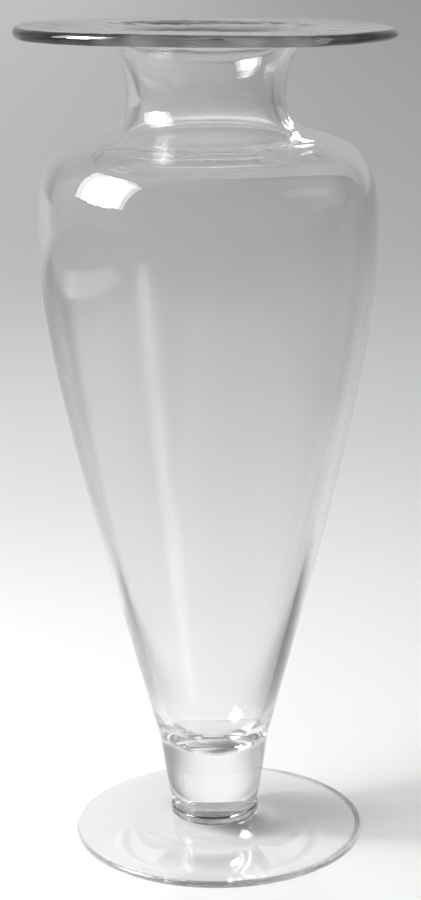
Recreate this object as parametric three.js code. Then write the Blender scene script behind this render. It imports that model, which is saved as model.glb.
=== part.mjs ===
// A footed baluster vase in clear hand-made glass, 400 mm tall.
// Four pieces of glass that the maker fuses while they are hot: a disc foot, a small collar,
// a solid stem, and a blown bowl whose neck and flat rim are drawn from the same bubble.
// Millimetres, +Z up. The origin is on the table, under the middle of the foot.

import * as THREE from 'three';

// Lengths along the axis, stacked from the table to the top of the rim: 400 mm in all.
const FOOT_CENTRE_HEIGHT = 9.3;
const COLLAR_THICKNESS = 4.8;
const STEM_LENGTH = 23.9;
const HEEL_LENGTH = 13;
const BODY_LENGTH = 255;
const SHOULDER_LENGTH = 42.5;
const NECK_BASE_LENGTH = 18.8;
const FLARE_LENGTH = 27.5;
const RIM_THICKNESS = 5.2;

// Outside radii, from the foot to the rim.
const FOOT_RADIUS = 72.2;
const COLLAR_RADIUS = 21.9;
const STEM_WAIST_RADIUS = 20.4;
const STEM_TOP_RADIUS = 25.2;
const KNEE_RADIUS = 27;
const BELLY_RADIUS = 81;
const SHOULDER_RADIUS = 59.6;
const NECK_RADIUS = 37.1;
const FLARE_RADIUS = 56;
const RIM_RADIUS = 89.2;

// Thickness of the glass.
const FOOT_EDGE_THICKNESS = 3.2;
const KNEE_WALL = 5;
const NECK_WALL = 6.2;
const BOWL_FLOOR = 6.6;

// Underside of the foot: a flat ring that stands on the table around a shallow hollow.
const BEARING_RING_WIDTH = 9;
const HOLLOW_DEPTH = 2.8;

// Rounding of the collar's upper and lower edge.
const COLLAR_TOP_ROUND = 1.2;
const COLLAR_BASE_ROUND = 2;

// How far above the knee the inside wall turns into the bubble's rounded bottom.
const CAVITY_TURN_RISE = 21;

// Slopes of the outside in degrees: out from the vertical at the stem's waist and above the
// knee, up from the level on the shoulder.
const STEM_LEAN = 22;
const BODY_LEAN = 14.7;
const SHOULDER_RISE = 21.5;

// How far each curve keeps its starting or ending direction, as a share of its own span.
const STEM_START_PULL = 0.25;
const STEM_END_PULL = 0.5;
const BODY_START_PULL = 0.32;
const BODY_END_PULL = 0.25;
const BELLY_PULL = 0.79;
const SHOULDER_PULL = 0.5;
const NECK_PULL = 0.84;
const FLARE_PULL = 0.66;
const FOOT_PULL = 0.4;
const CAVITY_SIDE_PULL = 0.7;
const CAVITY_FLOOR_PULL = 0.62;

// Clear glass has next to no colour. It looks a little greyer where it is thick and solid.
const GLASS_ROUGHNESS = 0.03;
const GLASS_OPACITY = 0.35;
const THIN_CLEAR = 0xe9eeee;
const THICK_CLEAR = 0xdfe6e6;

// Number of facets around the axis and of steps along the longer and the shorter curves.
const FACETS = 56;
const LONG_STEPS = 16;
const SHORT_STEPS = 7;
const ROUND_STEPS = 4;

// Two points of an outline closer than this are one point.
const SAME_POINT = 1e-6;

// Heights above the table.
const STEM_BASE_HEIGHT = FOOT_CENTRE_HEIGHT + COLLAR_THICKNESS;
const STEM_TOP_HEIGHT = STEM_BASE_HEIGHT + STEM_LENGTH;
const KNEE_HEIGHT = STEM_TOP_HEIGHT + HEEL_LENGTH;
const BELLY_HEIGHT = KNEE_HEIGHT + BODY_LENGTH;
const SHOULDER_HEIGHT = BELLY_HEIGHT + SHOULDER_LENGTH;
const NECK_HEIGHT = SHOULDER_HEIGHT + NECK_BASE_LENGTH;
const RIM_UNDERSIDE_HEIGHT = NECK_HEIGHT + FLARE_LENGTH;

function at(radius, height) {
  return new THREE.Vector2(radius, height);
}

// A point that lies a given way from another one, the angle taken up from the level.
function beyond(point, degrees, distance) {
  const angle = THREE.MathUtils.degToRad(degrees);
  return at(point.x + distance * Math.cos(angle), point.y + distance * Math.sin(angle));
}

function curve(start, startHandle, endHandle, end, steps) {
  return new THREE.CubicBezierCurve(start, startHandle, endHandle, end).getPoints(steps);
}

// A quarter or half round edge around its own centre, the angles in degrees.
function roundEdge(centre, radius, fromDegrees, toDegrees) {
  const from = THREE.MathUtils.degToRad(fromDegrees);
  const to = THREE.MathUtils.degToRad(toDegrees);
  const arc = new THREE.EllipseCurve(centre.x, centre.y, radius, radius, from, to);
  return arc.getPoints(ROUND_STEPS);
}

// One line from several stretches. A point that two of them share is kept once.
function joined(...stretches) {
  const points = stretches.flat();
  return points.filter((point, i) => i === 0 || point.distanceTo(points[i - 1]) > SAME_POINT);
}

// Turns an outline around the vertical axis.
function turned(outline) {
  return new THREE.LatheGeometry(outline, FACETS).rotateX(Math.PI / 2);
}

// The foot: a pressed disc with a fire-polished edge that rises gently to the middle.
function footOutline() {
  const edge = FOOT_EDGE_THICKNESS / 2;
  const rimLine = FOOT_RADIUS - edge;
  const hollowEdge = at(rimLine - BEARING_RING_WIDTH, 0);
  const hollowPull = hollowEdge.x * FOOT_PULL;
  const seat = at(COLLAR_RADIUS, FOOT_CENTRE_HEIGHT);
  const slopePull = (rimLine - seat.x) * FOOT_PULL;
  return joined(
    curve(
      at(0, HOLLOW_DEPTH), at(hollowPull, HOLLOW_DEPTH),
      at(hollowEdge.x - hollowPull, 0), hollowEdge, SHORT_STEPS,
    ),
    roundEdge(at(rimLine, edge), edge, -90, 90),
    curve(
      at(rimLine, FOOT_EDGE_THICKNESS), at(rimLine - slopePull, FOOT_EDGE_THICKNESS),
      at(seat.x + slopePull, seat.y), seat, SHORT_STEPS,
    ),
    at(0, FOOT_CENTRE_HEIGHT),
  );
}

// The collar: a button of glass pressed between foot and stem.
function collarOutline() {
  const baseRound = at(COLLAR_RADIUS - COLLAR_BASE_ROUND, FOOT_CENTRE_HEIGHT + COLLAR_BASE_ROUND);
  const topRound = at(COLLAR_RADIUS - COLLAR_TOP_ROUND, STEM_BASE_HEIGHT - COLLAR_TOP_ROUND);
  return joined(
    at(0, FOOT_CENTRE_HEIGHT),
    roundEdge(baseRound, COLLAR_BASE_ROUND, -90, 0),
    roundEdge(topRound, COLLAR_TOP_ROUND, 0, 90),
    at(0, STEM_BASE_HEIGHT),
  );
}

// The direction of the outline from the stem's top up to the knee, in degrees.
function kneeSlope() {
  const slope = at(KNEE_RADIUS - STEM_TOP_RADIUS, HEEL_LENGTH).angle();
  return THREE.MathUtils.radToDeg(slope);
}

// The stem: a solid drop of glass, tight above the collar and opening towards the bowl.
function stemOutline() {
  const waist = at(STEM_WAIST_RADIUS, STEM_BASE_HEIGHT);
  const top = at(STEM_TOP_RADIUS, STEM_TOP_HEIGHT);
  return joined(
    at(0, STEM_BASE_HEIGHT),
    curve(
      waist, beyond(waist, 90 - STEM_LEAN, STEM_LENGTH * STEM_START_PULL),
      beyond(top, kneeSlope(), -STEM_LENGTH * STEM_END_PULL), top, SHORT_STEPS,
    ),
    at(0, STEM_TOP_HEIGHT),
  );
}

// The outside of the bowl from the knee to the flat part of the rim's underside.
function bowlOutside() {
  const knee = at(KNEE_RADIUS, KNEE_HEIGHT);
  const belly = at(BELLY_RADIUS, BELLY_HEIGHT);
  const shoulder = at(SHOULDER_RADIUS, SHOULDER_HEIGHT);
  const neck = at(NECK_RADIUS, NECK_HEIGHT);
  const flare = at(FLARE_RADIUS, RIM_UNDERSIDE_HEIGHT);
  const shoulderSpan = shoulder.x - neck.x;
  const flareSpan = flare.x - neck.x;
  return joined(
    curve(
      knee, beyond(knee, 90 - BODY_LEAN, BODY_LENGTH * BODY_START_PULL),
      at(belly.x, belly.y - BODY_LENGTH * BODY_END_PULL), belly, LONG_STEPS,
    ),
    curve(
      belly, at(belly.x, belly.y + SHOULDER_LENGTH * BELLY_PULL),
      beyond(shoulder, -SHOULDER_RISE, shoulderSpan * SHOULDER_PULL), shoulder, SHORT_STEPS,
    ),
    curve(
      shoulder, beyond(shoulder, -SHOULDER_RISE, -shoulderSpan * SHOULDER_PULL),
      at(neck.x, neck.y - NECK_BASE_LENGTH * NECK_PULL), neck, SHORT_STEPS,
    ),
    curve(
      neck, at(neck.x, neck.y + FLARE_LENGTH * FLARE_PULL),
      at(flare.x - flareSpan * FLARE_PULL, flare.y), flare, SHORT_STEPS,
    ),
  );
}

// Thickness of the bowl's wall where its outside is at a given height.
function wallAt(height) {
  if (height < NECK_HEIGHT) {
    return THREE.MathUtils.mapLinear(height, KNEE_HEIGHT, NECK_HEIGHT, KNEE_WALL, NECK_WALL);
  }
  return THREE.MathUtils.mapLinear(height, NECK_HEIGHT, RIM_UNDERSIDE_HEIGHT, NECK_WALL, RIM_THICKNESS);
}

// The outside moved into the glass by the wall's thickness, square to the surface.
function bowlInside(outside) {
  return outside.map((point, i) => {
    const before = outside[Math.max(i - 1, 0)];
    const after = outside[Math.min(i + 1, outside.length - 1)];
    const inward = after.clone().sub(before).normalize().rotateAround(at(0, 0), Math.PI / 2);
    return inward.multiplyScalar(wallAt(point.y)).add(point);
  });
}

// The rounded bottom of the bubble, from the wall's lowest stretch down to the axis.
function cavityFloor(wallLine) {
  const [above, start] = wallLine.slice(-2);
  const floor = at(0, STEM_TOP_HEIGHT + BOWL_FLOOR);
  const drop = start.y - floor.y;
  const along = start.clone().sub(above).setLength(drop * CAVITY_SIDE_PULL);
  return curve(start, along.add(start), at(start.x * CAVITY_FLOOR_PULL, floor.y), floor, SHORT_STEPS);
}

// The bowl: thick rounded bottom, long tapering body, broad shoulder, waisted neck, flat rim.
function bowlOutline() {
  const outside = bowlOutside();
  const edge = RIM_THICKNESS / 2;
  const turnHeight = KNEE_HEIGHT + CAVITY_TURN_RISE;
  const wallLine = bowlInside(outside).reverse().filter((point) => point.y > turnHeight);
  return joined(
    at(0, STEM_TOP_HEIGHT),
    at(STEM_TOP_RADIUS, STEM_TOP_HEIGHT),
    outside,
    roundEdge(at(RIM_RADIUS - edge, RIM_UNDERSIDE_HEIGHT + edge), edge, -90, 90),
    wallLine,
    cavityFloor(wallLine),
  );
}

function clearGlass(colour) {
  return new THREE.MeshStandardMaterial({
    color: colour,
    roughness: GLASS_ROUGHNESS,
    metalness: 0,
    transparent: true,
    opacity: GLASS_OPACITY,
  });
}

function glassPiece(name, outline, colour) {
  const piece = new THREE.Mesh(turned(outline), clearGlass(colour));
  piece.name = name;
  return piece;
}

function vase() {
  const group = new THREE.Group();
  group.name = 'footed_baluster_vase';
  group.add(
    glassPiece('foot', footOutline(), THIN_CLEAR),
    glassPiece('collar', collarOutline(), THICK_CLEAR),
    glassPiece('stem', stemOutline(), THICK_CLEAR),
    glassPiece('bowl', bowlOutline(), THIN_CLEAR),
  );
  return group;
}

export default vase();
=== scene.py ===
import math

import bmesh
import bpy
from mathutils import Matrix, Vector, noise
from mathutils.geometry import interpolate_bezier


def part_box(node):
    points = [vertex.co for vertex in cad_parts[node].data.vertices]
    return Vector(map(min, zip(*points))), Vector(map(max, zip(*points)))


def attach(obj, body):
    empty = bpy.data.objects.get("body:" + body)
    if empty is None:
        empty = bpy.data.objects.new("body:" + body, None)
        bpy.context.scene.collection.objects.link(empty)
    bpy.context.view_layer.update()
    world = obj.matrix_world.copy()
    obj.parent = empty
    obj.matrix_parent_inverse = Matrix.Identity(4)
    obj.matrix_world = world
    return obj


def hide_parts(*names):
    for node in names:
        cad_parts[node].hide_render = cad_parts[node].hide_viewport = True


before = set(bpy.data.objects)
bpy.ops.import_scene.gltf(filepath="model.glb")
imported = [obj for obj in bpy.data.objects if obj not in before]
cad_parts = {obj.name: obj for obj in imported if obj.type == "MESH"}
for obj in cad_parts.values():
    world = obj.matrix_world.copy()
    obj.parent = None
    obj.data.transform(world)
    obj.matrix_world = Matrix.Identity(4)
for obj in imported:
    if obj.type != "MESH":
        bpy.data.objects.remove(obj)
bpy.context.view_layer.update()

MM = 0.001


# The foot: a gather of clear glass pressed into a thin disc between wooden boards. Its edge
# is fire polished, its top rises softly to the middle, and faint streaks stay in the glass.
# It stands on a flat ring around a shallow hollow.
FOOT_EDGE = 3.2 * MM
BEARING_RING = 9 * MM
FOOT_HOLLOW = 2.8 * MM
FOOT_PULL = 0.4
FOOT_EDGE_DARKEST = 0.4
FOOT_EDGE_PALEST = 0.7
FOOT_CLEARNESS = 1.0
FOOT_CORD_SIZE = 60
FOOT_SHADE_FRONT = 1.0
FOOT_SHADE_EDGE = 0.95
COLLAR_BASE_ROUND = 2 * MM
TURNS = 240
HOLLOW_STEPS = 24
FOOT_STEPS = 60
EDGE_STEPS = 12
JOINT_STEPS = 4
WELD = 0.001 * MM
JOINT_LEVEL = 0.01 * MM
JOINT_FLATNESS = 0.99

# how far the hand left the true round form: the foot sits off centre, the rim tips and wavers
FOOT_OFF_CENTRE = 2.3 * MM
COLLAR_REACH = 22 * MM
NECK_HEIGHT = 367.3 * MM
VASE_HEIGHT = 400 * MM
RIM_TIP = 0.016
RIM_REACH = 89 * MM
RIM_WAVE = 1.0 * MM
RIM_WAVE_LENGTH = 60 * MM
RIM_RIPPLE = 0.16 * MM
RIM_RIPPLE_LENGTH = 7 * MM
NECK_BASE_HEIGHT = 352 * MM
NECK_BASE_BAND = 16 * MM
NECK_RIPPLE = 0.03 * MM
NECK_RIPPLE_LENGTH = 10 * MM

# what every piece of this glass has in common
GLASS_IOR = 1.5
CORD_DETAIL = 2.0
CORD_DEPTH = 0.02 * MM
EVEN_CORDS = (1, 1, 1)
FACING_BLEND = 0.5
SHADE_START = 0.4
EDGE_STREAKS = 60.0
EDGE_STREAKS_LOW = 0.35
EDGE_STREAKS_HIGH = 0.65
EDGE_FADE = 0.6 * MM
# painted light: past this many turns the glass glows grey itself, by these tones from foot to rim
WANDERING_TURNS = 13.5
PAINTED_GLOW_TONES = ((0.0, 0.85), (0.3, 0.65), (0.7, 0.35), (1.0, 0.15))

foot_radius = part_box("foot")[1].x
foot_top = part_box("foot")[1].z
collar_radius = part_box("collar")[1].x


def point(radius, height):
    return Vector((radius, 0, height))


def bend(start, start_handle, end_handle, end, steps):
    return interpolate_bezier(start, start_handle, end_handle, end, steps + 1)


def round_over(centre, radius, from_degrees, to_degrees, steps):
    swing = to_degrees - from_degrees
    turns = [math.radians(from_degrees + swing * i / steps) for i in range(steps + 1)]
    return [centre + radius * Vector((math.cos(a), 0, math.sin(a))) for a in turns]


def flat_run(start, end, steps):
    return [start.lerp(end, i / steps) for i in range(1, steps)]


def by_hand(p):
    """How far a point of the true round form lies from where the maker's hand left it."""
    reach = p.xy.length
    off_centre = FOOT_OFF_CENTRE * min(1, max(0, reach - COLLAR_REACH) / COLLAR_REACH) * (p.z < foot_top)
    opened = max(0, (p.z - NECK_HEIGHT) / (VASE_HEIGHT - NECK_HEIGHT)) ** 2
    tip = -RIM_TIP * p.x * opened
    wave = RIM_WAVE * opened * noise.noise(p / RIM_WAVE_LENGTH) * reach / RIM_REACH
    ripple = RIM_RIPPLE * opened * noise.noise(p / RIM_RIPPLE_LENGTH)
    near_neck = max(0, 1 - ((p.z - NECK_BASE_HEIGHT) / NECK_BASE_BAND) ** 2)
    dimples = NECK_RIPPLE * near_neck * noise.noise(p / NECK_RIPPLE_LENGTH)
    return Vector((off_centre, 0, tip + wave + ripple + dimples))


def turn_on_the_pipe(name, outline, joints, glass, joint_glass):
    """Spins an outline round the axis, lets the hand waver and marks the fused faces."""
    line = [p for i, p in enumerate(outline) if i == 0 or (p - outline[i - 1]).length > WELD]
    work = bmesh.new()
    spine = [work.verts.new(p) for p in line]
    edges = [work.edges.new(pair) for pair in zip(spine, spine[1:])]
    bmesh.ops.spin(
        work, geom=spine + edges, cent=(0, 0, 0), axis=(0, 0, 1),
        angle=math.tau, steps=TURNS, use_merge=True,
    )
    bmesh.ops.remove_doubles(work, verts=work.verts, dist=WELD)
    bmesh.ops.recalc_face_normals(work, faces=work.faces)
    for face in work.faces:
        face.smooth = True
        level = face.calc_center_median().z
        reach = face.calc_center_median().xy.length
        for height, radius in joints:
            flat = abs(face.normal.z) > JOINT_FLATNESS
            if abs(level - height) < JOINT_LEVEL and reach < radius and flat:
                face.material_index = 1
                face.smooth = False
    for edge in work.edges:
        if len({face.material_index for face in edge.link_faces}) > 1:
            edge.smooth = False
    for vertex in work.verts:
        vertex.co += by_hand(vertex.co)
    mesh = bpy.data.meshes.new(name)
    work.to_mesh(mesh)
    work.free()
    mesh.materials.append(glass)
    mesh.materials.append(joint_glass)
    piece = bpy.data.objects.new(name, mesh)
    bpy.context.scene.collection.objects.link(piece)
    return piece


def feed(links, socket, given):
    """Links a socket to an output, or sets it to a plain value."""
    if isinstance(given, bpy.types.NodeSocket):
        links.new(given, socket)
    elif given is not None:
        socket.default_value = given


def ramp_of(nodes, stops, easing="B_SPLINE"):
    """A colour ramp node through grey stops, eased from one to the next."""
    ramp = nodes.new("ShaderNodeValToRGB")
    ramp.color_ramp.interpolation = easing
    for place, tone in stops[1:-1]:
        ramp.color_ramp.elements.new(place)
    for element, (place, tone) in zip(ramp.color_ramp.elements, stops):
        element.position = place
        element.color = (tone, tone, tone, 1)
    return ramp


def sum_node(nodes, links, operation, first, second=None, third=None):
    """A Math node. Each input is an output socket to link, or a plain number."""
    node = nodes.new("ShaderNodeMath")
    node.operation = operation
    for socket, given in zip(node.inputs, (first, second, third)):
        feed(links, socket, given)
    return node.outputs[0]


def vector_node(nodes, links, operation, first, second=None):
    """A Vector Math node on a linked vector. The second input is a fixed vector."""
    node = nodes.new("ShaderNodeVectorMath")
    node.operation = operation
    feed(links, node.inputs[0], first)
    feed(links, node.inputs[1], second)
    return node


def step_node(nodes, links, value, start, end, before, after, easing="SMOOTHSTEP"):
    """A Map Range node: one tone up to the start, another from the end on."""
    node = nodes.new("ShaderNodeMapRange")
    node.interpolation_type = easing
    feed(links, node.inputs["Value"], value)
    feed(links, node.inputs["From Min"], start)
    feed(links, node.inputs["From Max"], end)
    feed(links, node.inputs["To Min"], before)
    feed(links, node.inputs["To Max"], after)
    return node.outputs["Result"]


def clear_glass(name, clearness, cords, cord_size, shade_front, shade_edge):
    """Clear soda-lime glass. Cords are the faint streaks that stay in hand-gathered glass."""
    glass = bpy.data.materials.new(name)
    glass.use_nodes = True
    nodes, links = glass.node_tree.nodes, glass.node_tree.links
    nodes.clear()
    out = nodes.new("ShaderNodeOutputMaterial")
    body = nodes.new("ShaderNodeBsdfPrincipled")
    body.inputs["Base Color"].default_value = (clearness, clearness, clearness, 1)
    body.inputs["Roughness"].default_value = 0.0
    body.inputs["IOR"].default_value = GLASS_IOR
    body.inputs["Transmission Weight"].default_value = 1.0
    place = nodes.new("ShaderNodeTexCoord")
    stretch = nodes.new("ShaderNodeMapping")
    stretch.inputs["Scale"].default_value = cords
    streaks = nodes.new("ShaderNodeTexNoise")
    streaks.inputs["Scale"].default_value = cord_size
    streaks.inputs["Detail"].default_value = CORD_DETAIL
    relief = nodes.new("ShaderNodeBump")
    relief.inputs["Strength"].default_value = 1.0
    relief.inputs["Distance"].default_value = CORD_DEPTH
    links.new(place.outputs["Object"], stretch.inputs["Vector"])
    links.new(stretch.outputs["Vector"], streaks.inputs["Vector"])
    links.new(streaks.outputs["Fac"], relief.inputs["Height"])
    links.new(relief.outputs["Normal"], body.inputs["Normal"])
    # light that only makes shadows passes straight through, dimmer where it meets the glass aslant
    path = nodes.new("ShaderNodeLightPath")
    through = nodes.new("ShaderNodeBsdfTransparent")
    facing = nodes.new("ShaderNodeLayerWeight")
    facing.inputs["Blend"].default_value = FACING_BLEND
    dimming = ramp_of(nodes, ((SHADE_START, shade_front), (1.0, shade_edge)), "LINEAR")
    pick = nodes.new("ShaderNodeMixShader")
    links.new(facing.outputs["Facing"], dimming.inputs["Fac"])
    links.new(dimming.outputs["Color"], through.inputs["Color"])
    passing = sum_node(nodes, links, "MAXIMUM", path.outputs["Is Shadow Ray"], path.outputs["Is Diffuse Ray"])
    links.new(passing, pick.inputs["Fac"])
    # painted light: after too many turns inside the wall the glass glows grey itself, paler low down near the
    # table
    height = nodes.new("ShaderNodeSeparateXYZ")
    links.new(place.outputs["Object"], height.inputs[0])
    painted_glow_ramp = ramp_of(nodes, PAINTED_GLOW_TONES)
    links.new(sum_node(nodes, links, "DIVIDE", height.outputs["Z"], VASE_HEIGHT), painted_glow_ramp.inputs["Fac"])
    grey = nodes.new("ShaderNodeEmission")
    links.new(painted_glow_ramp.outputs["Color"], grey.inputs["Color"])
    tired = nodes.new("ShaderNodeMixShader")
    wanders = sum_node(nodes, links, "GREATER_THAN", path.outputs["Ray Depth"], WANDERING_TURNS)
    links.new(wanders, tired.inputs["Fac"])
    links.new(body.outputs["BSDF"], tired.inputs[1])
    links.new(grey.outputs["Emission"], tired.inputs[2])
    links.new(tired.outputs["Shader"], pick.inputs[1])
    links.new(through.outputs["BSDF"], pick.inputs[2])
    links.new(pick.outputs["Shader"], out.inputs["Surface"])
    glass.cycles.emission_sampling = "NONE"
    return glass


def paint_edge_shade(glass, clearness, radius, thickness, darkest, palest):
    """Painted shade: at a disc's edge, where one looks into a hand's width of glass, the colour is streaked
    dark.
    """
    nodes, links = glass.node_tree.nodes, glass.node_tree.links
    place = nodes["Texture Coordinate"].outputs["Object"]
    flat = vector_node(nodes, links, "MULTIPLY", place, (1, 1, 0))
    reach = vector_node(nodes, links, "LENGTH", flat.outputs["Vector"])
    streaks = nodes.new("ShaderNodeTexNoise")
    streaks.inputs["Scale"].default_value = EDGE_STREAKS
    links.new(place, streaks.inputs["Vector"])
    depth = step_node(
        nodes, links, streaks.outputs["Fac"], EDGE_STREAKS_LOW, EDGE_STREAKS_HIGH,
        darkest, palest, "LINEAR",
    )
    start = radius - thickness / 2
    edge = step_node(nodes, links, reach.outputs["Value"], start, start + EDGE_FADE, clearness, depth)
    links.new(edge, nodes["Principled BSDF"].inputs["Base Color"])


def fused_joint():
    """Where two pieces were pressed together hot, the glass is one and nothing shows."""
    joint = bpy.data.materials.new("fused_joint")
    joint.use_nodes = True
    nodes, links = joint.node_tree.nodes, joint.node_tree.links
    nodes.clear()
    out = nodes.new("ShaderNodeOutputMaterial")
    clear = nodes.new("ShaderNodeBsdfTransparent")
    links.new(clear.outputs["BSDF"], out.inputs["Surface"])
    return joint


joint_glass = fused_joint()
foot_rim = foot_radius - FOOT_EDGE / 2
hollow_rim = foot_rim - BEARING_RING
foot_seat = point(collar_radius, foot_top)
fused_radius = collar_radius - COLLAR_BASE_ROUND
foot_slope = (foot_rim - collar_radius) * FOOT_PULL
foot_outline = (
    bend(
        point(0, FOOT_HOLLOW), point(hollow_rim * FOOT_PULL, FOOT_HOLLOW),
        point(hollow_rim * (1 - FOOT_PULL), 0), point(hollow_rim, 0), HOLLOW_STEPS,
    )
    + round_over(point(foot_rim, FOOT_EDGE / 2), FOOT_EDGE / 2, -90, 90, EDGE_STEPS)
    + bend(
        point(foot_rim, FOOT_EDGE), point(foot_rim - foot_slope, FOOT_EDGE),
        foot_seat + Vector((foot_slope, 0, 0)), foot_seat, FOOT_STEPS,
    )
    + [point(fused_radius, foot_top)]
    + flat_run(point(fused_radius, foot_top), point(0, foot_top), JOINT_STEPS)
    + [point(0, foot_top)]
)
foot_glass = clear_glass(
    "foot_glass", FOOT_CLEARNESS, EVEN_CORDS, FOOT_CORD_SIZE, FOOT_SHADE_FRONT, FOOT_SHADE_EDGE,
)
# painted shade: the glass colour is darker in a streaked band at the foot's edge
paint_edge_shade(foot_glass, FOOT_CLEARNESS, foot_radius, FOOT_EDGE, FOOT_EDGE_DARKEST, FOOT_EDGE_PALEST)
foot = turn_on_the_pipe("foot_disc", foot_outline, [(foot_top, fused_radius)], foot_glass, joint_glass)
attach(foot, "root")
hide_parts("foot")


# The collar: a button of glass dropped on the foot and pressed flat, a little wider than the
# stem. Its soft round edge catches a bright line all the way round, and a dark line of painted shade.
COLLAR_TOP_ROUND = 1.2 * MM
COLLAR_BASE_STEPS = 8
COLLAR_TOP_STEPS = 6
COLLAR_EDGE = 3 * MM
COLLAR_CLEARNESS = 1.0
COLLAR_CORD_SIZE = 90
COLLAR_SHADE_FRONT = 0.25
COLLAR_SHADE_EDGE = 0.1
COLLAR_EDGE_DARKEST = 0.05
COLLAR_EDGE_PALEST = 0.3
STEM_WAIST_RADIUS = 20.4 * MM

collar_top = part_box("collar")[1].z
collar_outline = (
    [point(0, foot_top)]
    + flat_run(point(0, foot_top), point(fused_radius, foot_top), JOINT_STEPS)
    + round_over(
        point(collar_radius - COLLAR_BASE_ROUND, foot_top + COLLAR_BASE_ROUND),
        COLLAR_BASE_ROUND, -90, 0, COLLAR_BASE_STEPS,
    )
    + round_over(
        point(collar_radius - COLLAR_TOP_ROUND, collar_top - COLLAR_TOP_ROUND),
        COLLAR_TOP_ROUND, 0, 90, COLLAR_TOP_STEPS,
    )
    + [point(STEM_WAIST_RADIUS, collar_top)]
    + flat_run(point(STEM_WAIST_RADIUS, collar_top), point(0, collar_top), JOINT_STEPS)
    + [point(0, collar_top)]
)
collar_glass = clear_glass(
    "collar_glass", COLLAR_CLEARNESS, EVEN_CORDS, COLLAR_CORD_SIZE,
    COLLAR_SHADE_FRONT, COLLAR_SHADE_EDGE,
)
# painted shade: the glass colour is darker in a streaked band at the collar's edge
paint_edge_shade(
    collar_glass, COLLAR_CLEARNESS, collar_radius, COLLAR_EDGE,
    COLLAR_EDGE_DARKEST, COLLAR_EDGE_PALEST,
)
collar = turn_on_the_pipe(
    "collar_button", collar_outline,
    [(foot_top, fused_radius), (collar_top, STEM_WAIST_RADIUS)], collar_glass, joint_glass,
)
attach(collar, "root")
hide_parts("collar")


# The stem: a solid drop of glass drawn short, tight above the collar and opening towards
# the bowl, so that it works as a lens and stays almost empty of lines.
STEM_LEAN = math.radians(22)
STEM_START_PULL = 0.25
STEM_END_PULL = 0.5
STEM_STEPS = 24
KNEE_RADIUS = 27 * MM
HEEL_LENGTH = 13 * MM
STEM_CLEARNESS = 1.0
STEM_CORD_SIZE = 60
STEM_SHADE_FRONT = 0.25
STEM_SHADE_EDGE = 0.1

stem_top_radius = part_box("stem")[1].x
stem_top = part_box("stem")[1].z
stem_length = stem_top - collar_top
knee = point(KNEE_RADIUS, stem_top + HEEL_LENGTH)
stem_head = point(stem_top_radius, stem_top)
heel_way = (knee - stem_head).normalized()
stem_waist = point(STEM_WAIST_RADIUS, collar_top)
stem_way = Vector((math.sin(STEM_LEAN), 0, math.cos(STEM_LEAN)))
stem_outline = (
    [point(0, collar_top)]
    + flat_run(point(0, collar_top), stem_waist, JOINT_STEPS)
    + bend(
        stem_waist, stem_waist + stem_way * stem_length * STEM_START_PULL,
        stem_head - heel_way * stem_length * STEM_END_PULL, stem_head, STEM_STEPS,
    )
    + flat_run(stem_head, point(0, stem_top), JOINT_STEPS)
    + [point(0, stem_top)]
)
stem_glass = clear_glass(
    "stem_glass", STEM_CLEARNESS, EVEN_CORDS, STEM_CORD_SIZE, STEM_SHADE_FRONT, STEM_SHADE_EDGE,
)
stem = turn_on_the_pipe(
    "stem_drop", stem_outline,
    [(collar_top, STEM_WAIST_RADIUS), (stem_top, stem_top_radius)], stem_glass, joint_glass,
)
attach(stem, "root")
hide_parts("stem")


# The bowl: one blown bubble with a thick rounded bottom, a long tapering body, a broad
# shoulder, a waisted neck and a rim opened out flat with the jacks. The wall is five to six
# millimetres thick, and the rim wavers a little, as hand work does.
BODY_LEAN = math.radians(14.7)
SHOULDER_RISE = math.radians(21.5)
BODY_START_PULL = 0.32
BODY_END_PULL = 0.25
BELLY_PULL = 0.79
SHOULDER_PULL = 0.5
NECK_PULL = 0.84
FLARE_PULL = 0.66
BODY_LENGTH = 255 * MM
SHOULDER_LENGTH = 42.5 * MM
NECK_BASE_LENGTH = 18.8 * MM
BELLY_RADIUS = 81 * MM
SHOULDER_RADIUS = 59.6 * MM
NECK_RADIUS = 37.1 * MM
FLARE_RADIUS = 56 * MM
RIM_THICKNESS = 5.2 * MM
KNEE_WALL = 5 * MM
NECK_WALL = 6.2 * MM
BOWL_FLOOR = 6.6 * MM
CAVITY_TURN_RISE = 21 * MM
CAVITY_SIDE_PULL = 0.7
CAVITY_FLOOR_PULL = 0.62
HEEL_STEPS = 6
BODY_STEPS = 70
SHOULDER_STEPS = 24
NECK_STEPS = 20
FLARE_STEPS = 24
RIM_FLAT_STEPS = 12
RIM_ROUND_STEPS = 14
CAVITY_STEPS = 30
BOWL_CLEARNESS = 0.979
BOWL_CORDS = (1, 1, 0.15)
BOWL_CORD_SIZE = 30
BOWL_SHADE_FRONT = 0.82
BOWL_SHADE_EDGE = 0.25
RIM_DARKEST = 0.02
RIM_PALEST = 0.15

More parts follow.
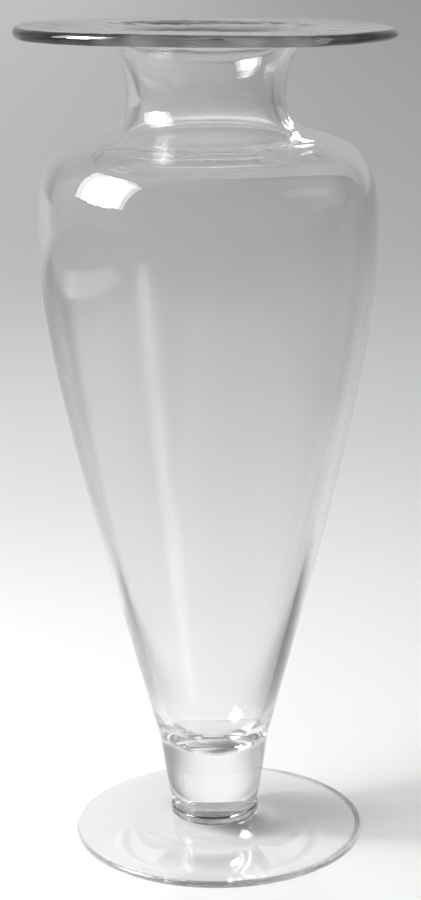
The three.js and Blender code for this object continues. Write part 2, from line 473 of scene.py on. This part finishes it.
rim_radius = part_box("bowl")[1].x
rim_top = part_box("bowl")[1].z
rim_under = rim_top - RIM_THICKNESS
belly = point(BELLY_RADIUS, knee.z + BODY_LENGTH)
shoulder = point(SHOULDER_RADIUS, belly.z + SHOULDER_LENGTH)
neck = point(NECK_RADIUS, shoulder.z + NECK_BASE_LENGTH)
flare = point(FLARE_RADIUS, rim_under)
up = Vector((0, 0, 1))
body_way = Vector((math.sin(BODY_LEAN), 0, math.cos(BODY_LEAN)))
shoulder_way = Vector((-math.cos(SHOULDER_RISE), 0, math.sin(SHOULDER_RISE)))
shoulder_span = (SHOULDER_RADIUS - NECK_RADIUS) * SHOULDER_PULL
flare_span = (FLARE_RADIUS - NECK_RADIUS) * FLARE_PULL
outside = (
    bend(
        knee, knee + body_way * BODY_LENGTH * BODY_START_PULL,
        belly - up * BODY_LENGTH * BODY_END_PULL, belly, BODY_STEPS,
    )
    + bend(
        belly, belly + up * SHOULDER_LENGTH * BELLY_PULL,
        shoulder - shoulder_way * shoulder_span, shoulder, SHOULDER_STEPS,
    )[1:]
    + bend(
        shoulder, shoulder + shoulder_way * shoulder_span,
        neck - up * NECK_BASE_LENGTH * NECK_PULL, neck, NECK_STEPS,
    )[1:]
    + bend(
        neck, neck + up * (rim_under - neck.z) * FLARE_PULL,
        flare - Vector((flare_span, 0, 0)), flare, FLARE_STEPS,
    )[1:]
)


def wall_at(height):
    """The wall grows from the knee to the neck and thins again to the rim."""
    if height < neck.z:
        return KNEE_WALL + (NECK_WALL - KNEE_WALL) * (height - knee.z) / (neck.z - knee.z)
    return NECK_WALL + (RIM_THICKNESS - NECK_WALL) * (height - neck.z) / (rim_under - neck.z)


inside = []
for i, p in enumerate(outside):
    way = (outside[min(i + 1, len(outside) - 1)] - outside[max(i - 1, 0)]).normalized()
    inside.append(p + Vector((-way.z, 0, way.x)) * wall_at(p.z))
inside = [p for p in reversed(inside) if p.z > knee.z + CAVITY_TURN_RISE]
floor_height = stem_top + BOWL_FLOOR
side_way = (inside[-1] - inside[-2]).normalized()
cavity_floor = bend(
    inside[-1], inside[-1] + side_way * (inside[-1].z - floor_height) * CAVITY_SIDE_PULL,
    point(inside[-1].x * CAVITY_FLOOR_PULL, floor_height), point(0, floor_height), CAVITY_STEPS,
)
rim_bend = rim_radius - RIM_THICKNESS / 2
bowl_outline = (
    [point(0, stem_top)]
    + flat_run(point(0, stem_top), stem_head, JOINT_STEPS)
    + [stem_head]
    + flat_run(stem_head, knee, HEEL_STEPS)
    + outside
    + flat_run(outside[-1], point(rim_bend, rim_under), RIM_FLAT_STEPS)
    + round_over(
        point(rim_bend, rim_top - RIM_THICKNESS / 2), RIM_THICKNESS / 2, -90, 90, RIM_ROUND_STEPS,
    )
    + flat_run(point(rim_bend, rim_top), inside[0], RIM_FLAT_STEPS)
    + inside
    + cavity_floor
)
bowl_glass = clear_glass(
    "bowl_glass", BOWL_CLEARNESS, BOWL_CORDS, BOWL_CORD_SIZE, BOWL_SHADE_FRONT, BOWL_SHADE_EDGE,
)
# painted shade: the glass colour is darker in a streaked band at the rim's edge
paint_edge_shade(bowl_glass, BOWL_CLEARNESS, rim_radius, RIM_THICKNESS, RIM_DARKEST, RIM_PALEST)
bowl = turn_on_the_pipe("blown_bowl", bowl_outline, [(stem_top, stem_top_radius)], bowl_glass, joint_glass)
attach(bowl, "root")
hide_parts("bowl")


# The table: a wide sheet of pale matt paper, white around the foot, grey with distance. Its
# tone is painted to follow the light's fall-off, and painted darker on the right, away from the window.
TABLE_SIDE = 40.0
TABLE_SQUARES = 8
TABLE_GAP = 0.3 * MM
FALL_OFF = 1.0
SIDE_SHARE = 0.28
SIDE_REACH = 1.2
PAPER_TONES = ((0.0, 0.94), (0.2, 0.94), (0.32, 0.94), (0.45, 0.92), (0.56, 1.0), (0.7, 0.99), (1.0, 0.98))
PALE_RIGHT = 0.45
PALE_RIGHT_START = 0.1
PALE_RIGHT_SPREAD = 1.05
PALE_LEFT = 0.75
PALE_LEFT_SPREAD = 0.9
PALE_FRONT = 0.75
SHADE_EDGE_START = 0.9
SHADE_EDGE_END = 1.25
PAINTED_SHADE_BEYOND = 0.6
LEFT_SHADE = 0.6
LEFT_SHADE_START = 0.12
LEFT_SHADE_SPREAD = 0.13
LEFT_FULL_SHADE = -1.6
LEFT_NO_SHADE = -1.0
SHADE_FADE_START = 1.0
SHADE_FADE_END = 1.5
PAINTED_NEAR_SHADE = 0.95
SHADE_SPOTS = (
    ((0, 0, 0), 0.07, 0.09, 1.05),
    ((0.17, 0.14, 0), 0.04, 0.165, 0.36),
    ((-0.15, 0.15, 0), 0.04, 0.14, 0.55),
    ((0.0165, -0.004, 0), 0.004, 0.022, 0.5),
)

work = bmesh.new()
bmesh.ops.create_grid(work, x_segments=TABLE_SQUARES, y_segments=TABLE_SQUARES, size=TABLE_SIDE / 2)
table_mesh = bpy.data.meshes.new("table_paper")
work.to_mesh(table_mesh)
work.free()
table = bpy.data.objects.new("table_paper", table_mesh)
table.location.z = -TABLE_GAP
bpy.context.scene.collection.objects.link(table)

paper = bpy.data.materials.new("table_paper")
paper.use_nodes = True
nodes, links = paper.node_tree.nodes, paper.node_tree.links
nodes.clear()
out = nodes.new("ShaderNodeOutputMaterial")
matt = nodes.new("ShaderNodeBsdfDiffuse")
spot = nodes.new("ShaderNodeNewGeometry")
away = vector_node(nodes, links, "LENGTH", spot.outputs["Position"]).outputs["Value"]
longer = sum_node(nodes, links, "ADD", away, FALL_OFF)
# painted light and shade: small steps in the paper's tone with distance follow the lamps' fall-off
tones = ramp_of(nodes, PAPER_TONES)
links.new(sum_node(nodes, links, "DIVIDE", away, longer), tones.inputs["Fac"])
axes = nodes.new("ShaderNodeSeparateXYZ")
links.new(spot.outputs["Position"], axes.inputs[0])
x, y = axes.outputs["X"], axes.outputs["Y"]
# painted shade: the paper's colour darkens towards the right, away from the window
swing = sum_node(nodes, links, "TANH", sum_node(nodes, links, "MULTIPLY", x, SIDE_REACH))
side_tone = sum_node(nodes, links, "MULTIPLY_ADD", swing, -SIDE_SHARE, 1.0)
# painted shade: past a pale reach round the vase the glass sees darker paper, the camera only pale
behind = sum_node(nodes, links, "MAXIMUM", y, 0.0)
right_width = sum_node(nodes, links, "MULTIPLY_ADD", behind, PALE_RIGHT_SPREAD, PALE_RIGHT_START)
right_width = sum_node(nodes, links, "MAXIMUM", right_width, PALE_RIGHT)
left_width = sum_node(nodes, links, "MULTIPLY_ADD", behind, -PALE_LEFT_SPREAD, -PALE_LEFT)
right_part = sum_node(nodes, links, "DIVIDE", x, right_width)
left_part = sum_node(nodes, links, "DIVIDE", x, left_width)
front_part = sum_node(nodes, links, "DIVIDE", y, -PALE_FRONT)
aside = sum_node(nodes, links, "MAXIMUM", right_part, left_part)
outermost = sum_node(nodes, links, "MAXIMUM", aside, front_part)
painted_surround_shade = step_node(nodes, links, outermost, SHADE_EDGE_START, SHADE_EDGE_END, 1.0, PAINTED_SHADE_BEYOND)
# painted shade: to the glass the paper on the left is darker, ending further back
left_shade_line = sum_node(nodes, links, "MULTIPLY_ADD", behind, LEFT_SHADE_SPREAD, LEFT_SHADE_START)
left_shade_part = sum_node(nodes, links, "DIVIDE", x, left_shade_line)
painted_left_shade = step_node(nodes, links, left_shade_part, LEFT_FULL_SHADE, LEFT_NO_SHADE, LEFT_SHADE, 1.0)
far_away = step_node(nodes, links, y, SHADE_FADE_START, SHADE_FADE_END, 0.0, 1.0)
left_shade_tone = sum_node(nodes, links, "MAXIMUM", painted_left_shade, far_away)
around = sum_node(nodes, links, "MULTIPLY", painted_surround_shade, left_shade_tone)
# painted shade: to the glass the near paper is a little darker
near_tone = sum_node(nodes, links, "MULTIPLY_ADD", far_away, 1 - PAINTED_NEAR_SHADE, PAINTED_NEAR_SHADE)
around = sum_node(nodes, links, "MULTIPLY", around, near_tone)
# painted light under the foot, and painted shadows beside the vase and under the stem, show in the glass
for centre, core, reach, tone in SHADE_SPOTS:
    off = vector_node(nodes, links, "DISTANCE", spot.outputs["Position"], centre)
    spread = step_node(nodes, links, off.outputs["Value"], core, reach, tone, 1.0)
    around = sum_node(nodes, links, "MULTIPLY", around, spread)
seen = nodes.new("ShaderNodeLightPath")
plain = sum_node(nodes, links, "MAXIMUM", around, seen.outputs["Is Camera Ray"])
shade = vector_node(nodes, links, "SCALE", tones.outputs["Color"])
links.new(sum_node(nodes, links, "MULTIPLY", plain, side_tone), shade.inputs["Scale"])
links.new(shade.outputs["Vector"], matt.inputs["Color"])
links.new(matt.outputs["BSDF"], out.inputs["Surface"])
table.data.materials.append(paper)


# The light: one broad window on the left lights the glass, and the pale room fills in from
# all round. What the glass mirrors is paler near the table and darker towards the ceiling.
AIM = Vector((0, 0, 0.33))
HALF_ROUND = 180
LOW_CARD_PLACE = (-1.085, -0.065, 0.02)
STAR_AWAY = 0.2
STAR_WIDTH = 0.03
STAR_BRIGHTNESS = 50.0
STAR_SPREAD = 12
STAR_LIGHTS = (
    ("star_light", 66, 12, 0.045, (0.109, 0.179, 0.392)),
    ("star_light_tail", 78, 26, 0.03, (0.073, 0.176, 0.431)),
)


def lamp(name, turn, rise, away, width, height, brightness, spread=HALF_ROUND, tilt=0):
    """A flat lamp that faces the vase. Turn is anticlockwise from the right, rise is from level."""
    turn, rise = math.radians(turn), math.radians(rise)
    way = Vector((math.cos(turn) * math.cos(rise), math.sin(turn) * math.cos(rise), math.sin(rise)))
    light = bpy.data.lights.new(name, "AREA")
    light.shape = "RECTANGLE"
    light.size = width
    light.size_y = height
    light.spread = math.radians(spread)
    # a narrower spread makes a lamp brighter straight ahead by this much
    half = light.spread / 2
    ahead = 1 if spread == HALF_ROUND else math.tan(half) / (math.tan(half) - half)
    light.energy = brightness * math.pi * width * height / ahead
    place = bpy.data.objects.new(name, light)
    place.location = AIM + way * away
    facing = way.to_track_quat("Z", "Y").to_matrix() @ Matrix.Rotation(math.radians(tilt), 3, "Z")
    place.rotation_euler = facing.to_euler()
    bpy.context.scene.collection.objects.link(place)
    return place


lamp("window", turn=190.5, rise=27, away=1.1, width=0.79, height=0.62, brightness=9.0, spread=130)
lamp("window_heart", turn=188, rise=26, away=1.09, width=0.06, height=0.5, brightness=95.0, spread=60)
# this one only lights the paper behind the vase
paper_light = lamp("paper_light", turn=100, rise=37.5, away=1.2, width=0.13, height=0.22, brightness=18.0)
paper_light.visible_glossy = False
paper_light.visible_transmission = False
# this one only shows as the long soft streak down the bowl
streak_light = lamp("streak_light", turn=192, rise=26, away=1.08, width=0.32, height=0.62, brightness=50.0)
streak_light.visible_diffuse = False
# two small lamps close by make the star at the foot of the neck
for name, turn, rise, height, place in STAR_LIGHTS:
    star = lamp(name, turn, rise, STAR_AWAY, STAR_WIDTH, height, STAR_BRIGHTNESS, STAR_SPREAD)
    star.location = place
    star.visible_camera = False
lamp("upper_tube", turn=156.5, rise=53.6, away=1.2, width=0.25, height=0.035, brightness=2.5, tilt=42)
lamp("lower_tube", turn=171.5, rise=51.8, away=1.2, width=0.24, height=0.035, brightness=2.5, tilt=28)
lamp("right_card", turn=358, rise=24, away=1.1, width=0.65, height=0.75, brightness=0.3)
# a card low on the left faces down to the vase's side of the table
low_card = lamp("low_card", turn=178, rise=-16, away=1.18, width=0.97, height=0.33, brightness=0.8)
low_card.location = LOW_CARD_PLACE
low_card.rotation_euler = (math.pi, 0, math.pi / 2)

# the room all round: pale low down, dark at the ceiling
ROOM_FILL = 0.44
ROOM_TONES = ((0.0, 0.48), (0.42, 0.46), (0.64, 0.28), (0.85, 0.1), (1.0, 0.03))
ROOM_DARK = 0.55
BACKDROP_TURN = math.radians(45)
BACKDROP_DARK_END = -0.05
BACKDROP_PALE_START = 0.3
WINDOW_WALL_TURN = math.radians(200)
WINDOW_WALL_TONE = 0.7
WINDOW_WALL_START = 0.0
WINDOW_WALL_FULL = 0.4

room = bpy.data.worlds.new("room")
bpy.context.scene.world = room
room.use_nodes = True
nodes, links = room.node_tree.nodes, room.node_tree.links
nodes.clear()
out = nodes.new("ShaderNodeOutputWorld")
fill = nodes.new("ShaderNodeBackground")
fill.inputs["Color"].default_value = (1, 1, 1, 1)
fill.inputs["Strength"].default_value = ROOM_FILL
walls = nodes.new("ShaderNodeBackground")
walls.inputs["Strength"].default_value = 1.0
sky = nodes.new("ShaderNodeTexCoord").outputs["Generated"]
axes = nodes.new("ShaderNodeSeparateXYZ")
links.new(sky, axes.inputs[0])
tones = ramp_of(nodes, ROOM_TONES, "LINEAR")
links.new(axes.outputs["Z"], tones.inputs["Fac"])
# the room is paler behind the vase than in front of it, and the window's wall is darker
backdrop_way = (-math.sin(BACKDROP_TURN), math.cos(BACKDROP_TURN), 0)
toward = vector_node(nodes, links, "DOT_PRODUCT", sky, backdrop_way).outputs["Value"]
backdrop = step_node(nodes, links, toward, BACKDROP_DARK_END, BACKDROP_PALE_START, ROOM_DARK, 1.0)
window_way = (math.cos(WINDOW_WALL_TURN), math.sin(WINDOW_WALL_TURN), 0)
beside = vector_node(nodes, links, "DOT_PRODUCT", sky, window_way).outputs["Value"]
window_wall = step_node(nodes, links, beside, WINDOW_WALL_START, WINDOW_WALL_FULL, 1.0, WINDOW_WALL_TONE)
wall = vector_node(nodes, links, "SCALE", tones.outputs["Color"])
links.new(sum_node(nodes, links, "MULTIPLY", backdrop, window_wall), wall.inputs["Scale"])
links.new(wall.outputs["Vector"], walls.inputs["Color"])
# camera and glass see the walls, and everything else gets the even fill
path = nodes.new("ShaderNodeLightPath")
mirrored = sum_node(nodes, links, "MAXIMUM", path.outputs["Is Camera Ray"], path.outputs["Is Glossy Ray"])
in_sight = sum_node(nodes, links, "MAXIMUM", mirrored, path.outputs["Is Transmission Ray"])
pick = nodes.new("ShaderNodeMixShader")
links.new(in_sight, pick.inputs["Fac"])
links.new(fill.outputs["Background"], pick.inputs[1])
links.new(walls.outputs["Background"], pick.inputs[2])
links.new(pick.outputs["Shader"], out.inputs["Surface"])


# The camera stands a metre in front of the vase, just above its rim, and looks a little down.
CAMERA_AWAY = 0.9918
CAMERA_HEIGHT = 0.4501
CAMERA_DOWN = math.radians(14.291)
CAMERA_ROLL = math.radians(0.7)
CAMERA_LENS = 84.19
CAMERA_FILM = 36
CAMERA_NEAREST = 0.01
CAMERA_FARTHEST = 60

eye = bpy.data.cameras.new("camera")
eye.lens = CAMERA_LENS
eye.sensor_width = CAMERA_FILM
eye.clip_start = CAMERA_NEAREST
eye.clip_end = CAMERA_FARTHEST
camera = bpy.data.objects.new("camera", eye)
camera.matrix_world = (
    Matrix.Translation((0, -CAMERA_AWAY, CAMERA_HEIGHT))
    @ Matrix.Rotation(math.pi / 2 - CAMERA_DOWN, 4, "X")
    @ Matrix.Rotation(-CAMERA_ROLL, 4, "Z")
)
bpy.context.scene.collection.objects.link(camera)
bpy.context.scene.camera = camera

# Light finds its way out of thick clear glass only after many turns.
GLASS_BOUNCES = 20
CLEAR_PASSES = 40

cycles = bpy.context.scene.cycles
cycles.max_bounces = GLASS_BOUNCES
cycles.transmission_bounces = GLASS_BOUNCES
cycles.glossy_bounces = GLASS_BOUNCES
cycles.transparent_max_bounces = CLEAR_PASSES
bpy.context.scene.view_settings.view_transform = "Standard"
